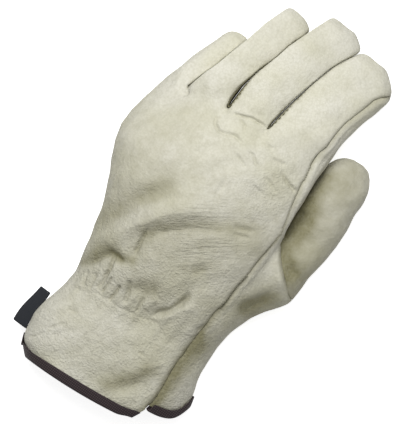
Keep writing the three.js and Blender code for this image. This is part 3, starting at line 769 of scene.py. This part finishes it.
def sew(panels: list[bpy.types.Object]) -> Seams:
    """Draw the edges of neighbouring panels together, so that each seam is closed.

    Args:
        panels: The leather panels.

    Returns:
        The seam lines.
    """
    trees = []
    for panel in panels:
        faces = [tuple(face.vertices) for face in panel.data.polygons]
        trees.append(BVHTree.FromPolygons([vert.co.copy() for vert in panel.data.vertices], faces))
    kinds = [skin_kinds(panel.data) for panel in panels]
    moved = []
    for panel, kind, own in zip(panels, kinds, trees):
        moved.append(sewn_places(panel, kind, [tree for tree in trees if tree is not own]))
    places: list[Vector] = []
    ways: list[Vector] = []
    for panel, co, kind in zip(panels, moved, kinds):
        panel.data.vertices.foreach_set("co", co.ravel())
        panel.data.update()
        normal = read_rows(panel.data.vertex_normals, "vector")
        border = [i for i, skins in kind.items() if skins == Skin.OUTER.value | Skin.RIM.value]
        places += [Vector(co[i]) for i in border]
        ways += [Vector(normal[i]) for i in border]
    tree = KDTree(len(places))
    for i, place in enumerate(places):
        tree.insert(place, i)
    tree.balance()
    mean = []
    for place in places:
        around = [ways[i] for _, i, _ in tree.find_range(place, SEAM_JOIN)]
        mean.append(sum(around, Vector()).normalized())
    return Seams(tree, mean)


@dataclass
class LeatherPanel:
    """One leather panel, made from its CAD solid with finer skin.

    Lengths are in millimetres. A field that ends in cuff tells by what share the cuff has more.
    """

    node: str
    levels: int = 2
    rim_crease: float = 0.55
    folds: FoldMap = field(default_factory=FoldMap)
    fine_above: float | None = None
    fine_edge: float = 0.9
    cut_rounds: int = 2
    smooth_rounds: int = 4
    outer_from: float = 0.99
    snug: float = 0.7
    flat_ramp: Ramp = (0.3, 0.55)
    plump: float = 0.35
    plump_until: float = 0.6
    table_ramp: Ramp = (0.2, 3.0)
    cuff_ramp: Ramp = (20, 90)
    fold_facing: float = 1.6
    seam_blend: float = 2.2
    seam_dip: float = 1.1
    seam_dip_cuff: float = 0.7
    seam_roll: float = 1.6
    seam_width: float = 1.5
    seam_width_cuff: float = 0.8
    seam_tone: float = 0.45
    seam_tone_cuff: float = 0.5
    hem_tone_ramp: Ramp = (4, 6)
    hem_dip_ramp: Ramp = (8, 8)
    under_share: float = 0.15
    top_ramp: Ramp = (0.1, 0.5)
    seam_ridge: float = 0.0
    ridge_place: float = 2.6
    ridge_width: float = 1.1
    nestle: float = 0.0
    skin_tree: BVHTree | None = field(default=None, init=False)

    def cut_out(self, frame: dict) -> bpy.types.Object:
        """Copy the CAD solid and refine it.


        Returns:
            The panel's new object.
        """
        mesh = frame["nodes"][self.node].data.copy()
        mesh.name = self.node + "_leather"
        obj = bpy.data.objects.new(self.node + "_leather", mesh)
        bpy.context.scene.collection.objects.link(obj)
        self.prepare_cage(mesh)
        refine(obj, self.levels)
        if self.fine_above is not None:
            self.refine_top(mesh)
        bpy.ops.object.shade_smooth()
        return obj

    def finish(self, obj: bpy.types.Object, seams: Seams, leather: bpy.types.Material) -> None:
        """Shape the leather of the sewn panel and give it its finish."""
        self.shape_leather(obj.data, seams)
        dress(obj, self.node, leather)

    def prepare_cage(self, mesh: bpy.types.Mesh) -> None:
        """Merge the copied triangles, pair them and mark the skins.

        Args:
            mesh: The copied mesh.
        """
        cage = clean_cage(mesh)
        cage.verts.index_update()
        layer = cage.faces.layers.int.new("skin")
        crease = cage.edges.layers.float.new("crease_edge")
        weight = cage.verts.layers.float.new("outer")
        across = {edge for edge in cage.edges if abs(edge.calc_length() - WALL) < WALL_MATCH}
        rims = {face for edge in across for face in edge.link_faces}
        skins = connected({face for face in cage.faces if face not in rims})
        skins.sort(key=lambda skin: -sum(face.calc_area() for face in skin))
        for face in rims:
            face[layer] = Skin.RIM.value
        for order, skin in enumerate(skins):
            for face in skin:
                face[layer] = Skin.OUTER.value if order == 0 else Skin.INNER.value
        log.info("%s: %s faces to a skin, %d rim faces", self.node, [len(s) for s in skins], len(rims))
        self.skin_tree = BVHTree.FromPolygons(
            [vert.co.copy() for vert in cage.verts],
            [tuple(v.index for v in face.verts) for face in cage.faces if face[layer] == Skin.OUTER.value],
        )
        for edge in cage.edges:
            if len({face[layer] for face in edge.link_faces}) == 2:
                edge[crease] = self.rim_crease
        for vert in cage.verts:
            vert[weight] = float(any(face[layer] == Skin.OUTER.value for face in vert.link_faces))
        pair_triangles(cage)
        cage.to_mesh(mesh)
        cage.free()

    def refine_top(self, mesh: bpy.types.Mesh) -> None:
        """Cut the long edges of the upper side, where the small creases are.

        Args:
            mesh: The panel's mesh.
        """
        skin = bmesh.new()
        skin.from_mesh(mesh)
        for _ in range(self.cut_rounds):
            edges = {edge for face in self.top_faces(skin) for edge in face.edges}
            long_edges = [edge for edge in edges if edge.calc_length() > self.fine_edge * MM]
            bmesh.ops.subdivide_edges(skin, edges=long_edges, cuts=1, use_grid_fill=True)
        layer = skin.faces.layers.int["skin"]
        top = {vert for face in self.top_faces(skin) for vert in face.verts}
        soft = [vert for vert in top if all(face[layer] == Skin.OUTER.value for face in vert.link_faces)]
        every_way = {"use_axis_x": True, "use_axis_y": True, "use_axis_z": True}
        for _ in range(self.smooth_rounds):
            bmesh.ops.smooth_vert(skin, verts=soft, factor=0.5, **every_way)
        skin.to_mesh(mesh)
        skin.free()

    def top_faces(self, skin: bmesh.types.BMesh) -> list[bmesh.types.BMFace]:
        """Find the faces of the outer skin that look upwards.

        Args:
            skin: The panel's mesh.

        Returns:
            The faces.
        """
        skin.normal_update()
        layer = skin.faces.layers.int["skin"]
        outer = [face for face in skin.faces if face[layer] == Skin.OUTER.value]
        return [face for face in outer if face.normal.z > self.fine_above]

    def pair_skins(self, mesh: bpy.types.Mesh, co: np.ndarray) -> tuple[np.ndarray, np.ndarray]:
        """Let each point of the inner skin follow the outer point above it.

        The outer skin's sides also go back towards the solid, because rounding drew them in.

        Args:
            mesh: The panel's mesh.
            co: Its points, in metres; they are changed in place.

        Returns:
            For each point, the place that it follows, in metres, and the way out there.
        """
        normal = read_rows(mesh.vertex_normals, "vector")
        weight = np.empty(len(mesh.vertices))
        mesh.attributes["outer"].data.foreach_get("value", weight)
        on_outer = weight > self.outer_from
        tree = KDTree(int(on_outer.sum()))
        for i in np.nonzero(on_outer)[0]:
            tree.insert(Vector(co[i]), int(i))
        tree.balance()
        at, way, out = co.copy(), normal.copy(), np.zeros(co.shape)
        steep = 1 - rise(np.abs(normal[:, 2]), self.flat_ramp)
        for i in np.nonzero(on_outer & (steep > 0))[0]:
            here = Vector(co[i])
            out[i] = self.snug * steep[i] * np.array(self.skin_tree.find_nearest(here)[0] - here)
        for i in np.nonzero(~on_outer)[0]:
            near = tree.find(Vector(co[i]))[1]
            at[i], way[i], out[i] = co[near], normal[near], out[near]
        co += out
        return at, way

    def lean(self, co: np.ndarray, x: np.ndarray, y: np.ndarray) -> None:
        """Lean one flank against the hand, along HAND_SIDE.

        Args:
            co: The points to move, in metres; they are changed in place.
            x: Plan x of the points, in millimetres.
            y: Plan y of the points, in millimetres.
        """
        place = measure_run(HAND_SIDE, x, y)
        (ax, ay), (bx, by) = HAND_SIDE[0], HAND_SIDE[-1]
        size = self.nestle * MM / math.dist((ax, ay), (bx, by))
        push = size * bell(np.minimum(place.distance, 0) / LEAN_DEPTH)
        push *= smooth(place.along / LEAN_START) * smooth((1 - place.along) / LEAN_END)
        co[:, 0] -= push * (by - ay)
        co[:, 1] += push * (bx - ax)

    def shape_leather(self, mesh: bpy.types.Mesh, seams: Seams) -> None:
        """Press the folds, gathers, seams and ripples into both skins and mark the painted shade and grain.

        Args:
            mesh: The panel's mesh.
            seams: The seam lines of the whole glove.
        """
        co = read_rows(mesh.vertices, "co")
        at, way = self.pair_skins(mesh, co)
        own_x, own_y, z = (at / MM).T
        x, y = own_x - PLAN_SHIFT[0], own_y - PLAN_SHIFT[1]
        showing, clear = np.ones(x.shape), np.ones(x.shape)
        for slit in SLITS:
            showing *= slit.showing(own_x, own_y)
            clear *= slit.clear(own_x, own_y)
        to_seam, seam_way = seams.measure(at)
        to_cuff = 1 - rise(y, self.cuff_ramp)
        seam_width = self.seam_width * (1 + self.seam_width_cuff * to_cuff)
        height = self.folds.height(x, y)

        # The painted shade for the material to read: the map's, and more along the seam valleys, stronger
        # at the cuff.
        seam_tone = self.seam_tone * (1 + self.seam_tone_cuff * to_cuff) * showing
        seam_tone *= rise(y, self.hem_tone_ramp)
        dark = self.folds.darkening(x, y, height) + seam_tone * bell(to_seam / seam_width)
        mark(mesh, "painted_shade", np.clip(dark, 0, 1))
        mark(mesh, "coarse", self.folds.coarseness(x, y))
        mark(mesh, "pulled", self.folds.strained.share(x, y))

        # The relief, along the way out of the leather.
        blend = bell(to_seam / self.seam_blend)[:, None]
        way = way * (1 - blend) + seam_way * blend
        way /= np.linalg.norm(way, axis=1)[:, None]
        off_table = rise(z, self.table_ramp)
        on_top = self.under_share + (1 - self.under_share) * rise(seam_way[:, 2], self.top_ramp)
        dip = self.seam_dip * (1 + self.seam_dip_cuff * to_cuff) * showing * on_top
        dip *= rise(y, self.hem_dip_ramp)
        ridge = self.seam_ridge * (1 - to_cuff) * on_top
        lift = height * smooth(way[:, 2] * self.fold_facing) * (1 - blend[:, 0])
        lift += self.folds.ripple(x, y, z) * off_table
        lift += self.plump * (1 - smooth(np.abs(way[:, 2]) / self.plump_until)) * off_table * clear
        lift += ridge * bell((to_seam - self.ridge_place) / self.ridge_width)
        lift -= dip * bell(to_seam / seam_width, self.seam_roll)
        co += way * (lift * MM)[:, None]

        # The fit of the fingers and the thumb, with nothing below the table.
        for tip in TIP_FILL:
            co[:, :2] += tip.spot.share(x, y)[:, None] * np.array(tip.way) * MM
        if self.nestle:
            self.lean(co, x, y)
        for slit in SLITS:
            slit.draw_in(co)
        co[:, 2] = np.maximum(co[:, 2], 0.0)
        mesh.vertices.foreach_set("co", co.ravel())
        mesh.update()


def socket(group: Tree, name: str, way: str, kind: str) -> None:
    """Add a Vector or Float socket to a node group, as an INPUT or an OUTPUT."""
    group.interface.new_socket(name, in_out=way, socket_type="NodeSocket" + kind)


def add_node(tree: Tree, kind: str, values: dict | None = None, **settings: object) -> bpy.types.Node:
    """Add a node and set it up.

    Args:
        tree: The material's or the group's nodes.
        kind: The node's type, without its common first part.
        values: Input values by the socket's name or place.
        settings: The node's own settings, which are made before its inputs.

    Returns:
        The new node.
    """
    node = tree.nodes.new("ShaderNode" + kind)
    for name, value in settings.items():
        setattr(node, name, value)
    for name, value in (values or {}).items():
        node.inputs[name].default_value = value
    return node


@dataclass(frozen=True)
class HideGrain:
    """The pebbled grain that all the leather shares."""

    bend_scale: float = 260.0
    bend: float = 1.1 * MM
    roundness: float = 0.6
    pore_scale: float = 2300.0
    pebble_depth: float = 1.1
    pit_from: float = 0.32
    pit_to: float = 0.75

    def make(self) -> Tree:
        """Build the node group.

        Returns:
            The group, which takes Vector and Pebble Scale and puts out Height and Pits.
        """
        group = bpy.data.node_groups.new("hide_grain", "ShaderNodeTree")
        socket(group, "Vector", "INPUT", "Vector")
        socket(group, "Pebble Scale", "INPUT", "Float")
        socket(group, "Height", "OUTPUT", "Float")
        socket(group, "Pits", "OUTPUT", "Float")
        links = group.links
        come = group.nodes.new("NodeGroupInput")
        give = group.nodes.new("NodeGroupOutput")
        warp = add_node(group, "TexNoise", {"Scale": self.bend_scale, "Detail": 2})
        links.new(come.outputs["Vector"], warp.inputs["Vector"])
        reach = (self.bend, self.bend, self.bend)
        bent = add_node(group, "VectorMath", {1: reach}, operation="MULTIPLY_ADD")
        links.new(warp.outputs["Color"], bent.inputs[0])
        links.new(come.outputs["Vector"], bent.inputs[2])
        pebble = add_node(group, "TexVoronoi", {"Smoothness": self.roundness}, feature="SMOOTH_F1")
        links.new(bent.outputs[0], pebble.inputs["Vector"])
        links.new(come.outputs["Pebble Scale"], pebble.inputs["Scale"])
        pores = add_node(group, "TexNoise", {"Scale": self.pore_scale, "Detail": 3})
        links.new(come.outputs["Vector"], pores.inputs["Vector"])
        height = add_node(group, "Math", {1: -self.pebble_depth}, operation="MULTIPLY_ADD")
        links.new(pebble.outputs["Distance"], height.inputs[0])
        links.new(pores.outputs["Fac"], height.inputs[2])
        links.new(height.outputs[0], give.inputs["Height"])
        pits = add_node(group, "MapRange", {"From Min": self.pit_from, "From Max": self.pit_to})
        links.new(pebble.outputs["Distance"], pits.inputs["Value"])
        links.new(pits.outputs["Result"], give.inputs["Pits"])
        return group


@dataclass(frozen=True)
class LeatherFinish:
    """Undyed grain leather, soft and nearly matt."""

    name: str = "grain_leather"
    pale: Colour = (0.63, 0.615, 0.53)
    worn: Colour = (0.56, 0.545, 0.43)
    pits: Colour = (0.38, 0.365, 0.27)
    # The colour that painted shade darkens the leather towards.
    painted_shade: Colour = (0.215, 0.2, 0.11)
    pit_share: float = 0.22
    mottle: float = 0.11
    roughness: tuple[float, float] = (0.62, 0.8)
    specular: float = 0.35
    pebble: float = 820.0
    wrinkle_depth: float = 2.2
    strain_depth: float = 3.0
    strain_size: tuple[float, float, float] = (0.0085, 0.0013, 0.003)
    bump: float = 0.7
    bump_depth: float = 0.6 * MM

    def make(self, grain: Tree) -> bpy.types.Material:
        """Build the material.

        Args:
            grain: The shared grain group.

        Returns:
            The leather material.
        """
        mat = bpy.data.materials.new(self.name)
        mat.use_nodes = True
        tree, links = mat.node_tree, mat.node_tree.links
        shader = tree.nodes["Principled BSDF"]
        shader.inputs["Specular IOR Level"].default_value = self.specular
        place = add_node(tree, "TexCoord").outputs["Object"]
        hide = add_node(tree, "Group", node_tree=grain)
        hide.inputs["Pebble Scale"].default_value = self.pebble
        links.new(place, hide.inputs["Vector"])
        rough = add_node(tree, "MapRange", {"To Min": self.roughness[0], "To Max": self.roughness[1]})
        links.new(hide.outputs["Pits"], rough.inputs["Value"])
        links.new(rough.outputs["Result"], shader.inputs["Roughness"])
        links.new(self.colour(tree, place, hide.outputs["Pits"]), shader.inputs["Base Color"])
        bump = add_node(tree, "Bump", {"Strength": self.bump, "Distance": self.bump_depth})
        links.new(self.relief(tree, place, hide.outputs["Height"]), bump.inputs["Height"])
        links.new(bump.outputs["Normal"], shader.inputs["Normal"])
        return mat

    def colour(self, tree: Tree, place: Socket, pits: Socket) -> Socket:
        """Make the leather's colour: clouds, painted shade with its mottle, and darker pits.

        Args:
            tree: The material's nodes.
            place: The object's coordinates.
            pits: The grain's pits.

        Returns:
            The colour's socket.
        """
        links = tree.links
        cloud = add_node(tree, "TexNoise", {"Scale": 34, "Detail": 4})
        links.new(place, cloud.inputs["Vector"])
        spread = add_node(tree, "MapRange", {"From Min": 0.38, "From Max": 0.66})
        links.new(cloud.outputs["Fac"], spread.inputs["Value"])
        tone = add_node(tree, "Mix", {"A": (*self.pale, 1), "B": (*self.worn, 1)}, data_type="RGBA")
        links.new(spread.outputs["Result"], tone.inputs["Factor"])
        mottle = add_node(tree, "TexNoise", {"Scale": 210, "Detail": 4, "Roughness": 0.65})
        links.new(place, mottle.inputs["Vector"])
        reach = {"From Min": 0.3, "From Max": 0.7, "To Min": -self.mottle, "To Max": self.mottle}
        patch = add_node(tree, "MapRange", reach)
        links.new(mottle.outputs["Fac"], patch.inputs["Value"])
        # Painted shade read from the panels, with the mottle added, mixes the tone towards the shade
        # colour.
        shade_attribute = add_node(tree, "Attribute", attribute_name="painted_shade")
        shade_and_mottle = add_node(tree, "Math", operation="ADD", use_clamp=True)
        links.new(shade_attribute.outputs["Fac"], shade_and_mottle.inputs[0])
        links.new(patch.outputs["Result"], shade_and_mottle.inputs[1])
        used = add_node(tree, "Mix", {"B": (*self.painted_shade, 1)}, data_type="RGBA")
        links.new(shade_and_mottle.outputs[0], used.inputs["Factor"])
        links.new(tone.outputs["Result"], used.inputs["A"])
        depth = add_node(tree, "Math", {1: self.pit_share}, operation="MULTIPLY")
        links.new(pits, depth.inputs[0])
        dark = add_node(tree, "Mix", {"B": (*self.pits, 1)}, data_type="RGBA")
        links.new(depth.outputs[0], dark.inputs["Factor"])
        links.new(used.outputs["Result"], dark.inputs["A"])
        return dark.outputs["Result"]

    def relief(self, tree: Tree, place: Socket, grain: Socket) -> Socket:
        """Make the leather's relief: grain and wrinkles, and fine lines where it is strained.

        Args:
            tree: The material's nodes.
            place: The object's coordinates.
            grain: The grain's height.

        Returns:
            The height's socket.
        """
        links = tree.links
        wrinkle = add_node(tree, "TexNoise", {"Scale": 330, "Detail": 3, "Distortion": 0.6})
        links.new(place, wrinkle.inputs["Vector"])
        rough = add_node(tree, "Math", {1: self.wrinkle_depth}, operation="MULTIPLY_ADD")
        links.new(wrinkle.outputs["Fac"], rough.inputs[0])
        links.new(grain, rough.inputs[2])
        region = add_node(tree, "Attribute", attribute_name="coarse")
        coarse = add_node(tree, "Math", operation="MULTIPLY")
        links.new(rough.outputs[0], coarse.inputs[0])
        links.new(region.outputs["Fac"], coarse.inputs[1])
        turned = {"Rotation": (0, 0, PHOTO_TURN), "Scale": self.strain_size}
        turn = add_node(tree, "Mapping", turned, vector_type="TEXTURE")
        links.new(place, turn.inputs["Vector"])
        strain = add_node(tree, "TexNoise", {"Scale": 1, "Detail": 3, "Distortion": 0.4})
        links.new(turn.outputs["Vector"], strain.inputs["Vector"])
        pulled = add_node(tree, "Attribute", attribute_name="pulled")
        lines = add_node(tree, "Math", operation="MULTIPLY")
        links.new(strain.outputs["Fac"], lines.inputs[0])
        links.new(pulled.outputs["Fac"], lines.inputs[1])
        both = add_node(tree, "Math", {1: self.strain_depth}, operation="MULTIPLY_ADD")
        links.new(lines.outputs[0], both.inputs[0])
        links.new(coarse.outputs[0], both.inputs[2])
        return both.outputs[0]


# How far apart a wave texture's bands are at a scale of 1.
WAVE_BAND = 0.314


@dataclass(frozen=True)
class ClothFinish:
    """Woven tape or ribbon with a fine rib."""

    name: str
    colour: Colour
    light: Colour
    pitch: float
    rib_bend: float = 0.8
    roughness: float = 0.85
    bump: float = 0.5
    bump_depth: float = 0.2 * MM

    def make(self) -> bpy.types.Material:
        """Build the material.

        Returns:
            The cloth material.
        """
        mat = bpy.data.materials.new(self.name)
        mat.use_nodes = True
        tree, links = mat.node_tree, mat.node_tree.links
        shader = tree.nodes["Principled BSDF"]
        shader.inputs["Roughness"].default_value = self.roughness
        place = add_node(tree, "TexCoord")
        weave = add_node(tree, "Math", operation="MULTIPLY")
        for i, axis in enumerate("XY"):
            bands = {"Scale": WAVE_BAND / self.pitch, "Distortion": self.rib_bend}
            rib = add_node(tree, "TexWave", bands, bands_direction=axis)
            links.new(place.outputs["Object"], rib.inputs["Vector"])
            links.new(rib.outputs["Fac"], weave.inputs[i])
        tone = add_node(tree, "Mix", {"A": (*self.colour, 1), "B": (*self.light, 1)}, data_type="RGBA")
        links.new(weave.outputs[0], tone.inputs["Factor"])
        links.new(tone.outputs["Result"], shader.inputs["Base Color"])
        bump = add_node(tree, "Bump", {"Strength": self.bump, "Distance": self.bump_depth})
        links.new(weave.outputs[0], bump.inputs["Height"])
        links.new(bump.outputs["Normal"], shader.inputs["Normal"])
        return mat


@dataclass
class Tape:
    """A bound edge or ribbon, made from its CAD solid with softer edges.

    It is pulled by so many millimetres in x and y, most at the middle of the patch felt.
    """

    node: str
    slot: str
    pull: tuple[float, float]
    felt: Patch = Patch(HEM_CORNER, (4, 4))
    levels: int = 2
    sharp_from: float = 0.9
    crease: float = 0.9

    def build(self, frame: dict, mat: bpy.types.Material) -> None:
        """Copy the CAD solid, soften it and give it its finish.

        Args:
            mat: The tape's material.
        """
        mesh = frame["nodes"][self.node].data.copy()
        obj = bpy.data.objects.new(self.node + "_cloth", mesh)
        bpy.context.scene.collection.objects.link(obj)
        cage = clean_cage(mesh)
        pair_triangles(cage)
        crease = cage.edges.layers.float.new("crease_edge")
        for vert in cage.verts:
            near = self.felt.share(vert.co.x / MM - PLAN_SHIFT[0], vert.co.y / MM - PLAN_SHIFT[1]) * MM
            vert.co += Vector((self.pull[0] * near, self.pull[1] * near, 0))
        for edge in cage.edges:
            if len(edge.link_faces) == 2 and edge.calc_face_angle(0) > self.sharp_from:
                edge[crease] = self.crease
        cage.to_mesh(mesh)
        cage.free()
        refine(obj, self.levels)
        bpy.ops.object.shade_smooth()
        dress(obj, self.node, mat)


@dataclass
class Studio:
    """Floor, soft lights and the camera over the glove."""

    lens: float = 600.0
    sensor: float = 36.0
    over_table: float = 0.02
    aim: tuple[float, float] = (-6.35, 117.8)
    floor_size: float = 6.0
    floor_tone: float = 0.96
    floor_glow: float = 0.7
    sky: float = 0.4
    key_place: tuple[float, float, float] = (-0.24, 0.30, 0.70)
    key_power: float = 5.9
    key_size: float = 0.5

    def build(self) -> None:
        """Set up the floor, the lights and the camera."""
        self.add_floor()
        self.add_lights()
        self.add_camera()

    def add_floor(self) -> None:
        """Lay the plain pale floor, which throws no light back on the glove."""
        deselect()
        bpy.ops.mesh.primitive_plane_add(size=self.floor_size, location=(0, 0, 0))
        floor = bpy.context.active_object
        floor.name = "floor"
        mat = bpy.data.materials.new("floor_paint")
        mat.use_nodes = True
        shader = mat.node_tree.nodes["Principled BSDF"]
        shader.inputs["Base Color"].default_value = (self.floor_tone, self.floor_tone, self.floor_tone, 1)
        shader.inputs["Roughness"].default_value = 0.9
        shader.inputs["Specular IOR Level"].default_value = 0.1
        shader.inputs["Emission Color"].default_value = (1, 1, 1, 1)
        shader.inputs["Emission Strength"].default_value = self.floor_glow
        floor.data.materials.append(mat)
        floor.visible_diffuse = False

    def add_lights(self) -> None:
        """Light the glove from all round and, more, from the upper left of the photograph."""
        world = bpy.data.worlds.new("studio")
        world.use_nodes = True
        world.node_tree.nodes["Background"].inputs["Color"].default_value = (1, 1, 1, 1)
        world.node_tree.nodes["Background"].inputs["Strength"].default_value = self.sky
        bpy.context.scene.world = world
        data = bpy.data.lights.new("key", "AREA")
        data.energy = self.key_power
        data.size = self.key_size
        lamp = bpy.data.objects.new("key", data)
        lamp.location = self.key_place
        lamp.rotation_euler = (-Vector(self.key_place)).to_track_quat("-Z", "Y").to_euler()
        bpy.context.scene.collection.objects.link(lamp)

    def add_camera(self) -> None:
        """Look straight down, turned as the photograph is."""
        data = bpy.data.cameras.new("camera")
        data.lens = self.lens
        data.sensor_width = self.sensor
        data.clip_end = 100
        camera = bpy.data.objects.new("camera", data)
        bpy.context.scene.collection.objects.link(camera)
        height = PHOTO_SIZE[1] * PHOTO_SCALE * self.lens / self.sensor + self.over_table
        x = (self.aim[0] + PLAN_SHIFT[0]) * MM
        y = (self.aim[1] + PLAN_SHIFT[1]) * MM
        turn = Matrix.Rotation(PHOTO_TURN, 4, "Z")
        camera.matrix_world = Matrix.Translation((x, y, height)) @ turn
        bpy.context.scene.camera = camera
        bpy.context.scene.view_settings.view_transform = "Standard"


@dataclass
class Glove:
    """The whole glove."""

    frame: dict

    def build(self) -> None:
        """Build each piece and give it its finish."""
        leather = LeatherFinish().make(HideGrain().make())
        back_folds = [*WIDE_FOLDS, *WRIST_CREASES, *PUCKERS, *KNUCKLE_CREASES, *CUFF_DENTS, GATHER_LINE]
        back = FoldMap(back_folds, BACK_SHADE)
        # The palm's base tone takes some painted shade off it, and the thumb's is painted shade over it.
        palm = FoldMap(THENAR_FOLDS, PALM_SHADE, -0.12)
        thumb = FoldMap(THUMB_FOLDS, THUMB_SHADE, 0.28)
        parts = [
            LeatherPanel("back_panel", folds=back, fine_above=0.15),
            LeatherPanel("palm_panel", folds=palm, fine_above=0.3, fine_edge=1.6, seam_ridge=0.55),
            LeatherPanel("thumb", 3, folds=thumb, seam_tone=0.12, nestle=3.0),
            # The fourchettes' base tones are painted shade in the slits between the fingers.
            LeatherPanel("fourchette_ring_little", folds=FoldMap(base_tone=0.1), seam_dip=0.2),
            LeatherPanel("fourchette_middle_ring", folds=FoldMap(base_tone=0.85), seam_dip=0.2),
            LeatherPanel("fourchette_index_middle", folds=FoldMap(base_tone=0.3), seam_dip=0.2),
        ]
        panels = [part.cut_out(self.frame) for part in parts]
        seams = sew(panels)
        for part, panel in zip(parts, panels):
            part.finish(panel, seams, leather)
        tape = ClothFinish("hem_tape", (0.007, 0.004, 0.005), (0.085, 0.052, 0.055), 1.1 * MM).make()
        ribbon = ClothFinish("label_ribbon", (0.008, 0.010, 0.014), (0.024, 0.028, 0.036), 0.35 * MM).make()
        Tape("back_hem_binding", "binding", (-2.3, 2.1)).build(self.frame, tape)
        Tape("palm_hem_binding", "binding", (-0.2, -2.3)).build(self.frame, tape)
        whole = Patch(HEM_CORNER, (200, 200))
        Tape("side_label", "label", (0.6, 0.46), whole).build(self.frame, ribbon)


def main() -> None:
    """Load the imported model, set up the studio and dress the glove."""
    logging.basicConfig(level=logging.INFO, format="%(name)s: %(message)s")
    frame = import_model()
    Studio().build()
    Glove(frame).build()


if __name__ == "__main__":
    main()
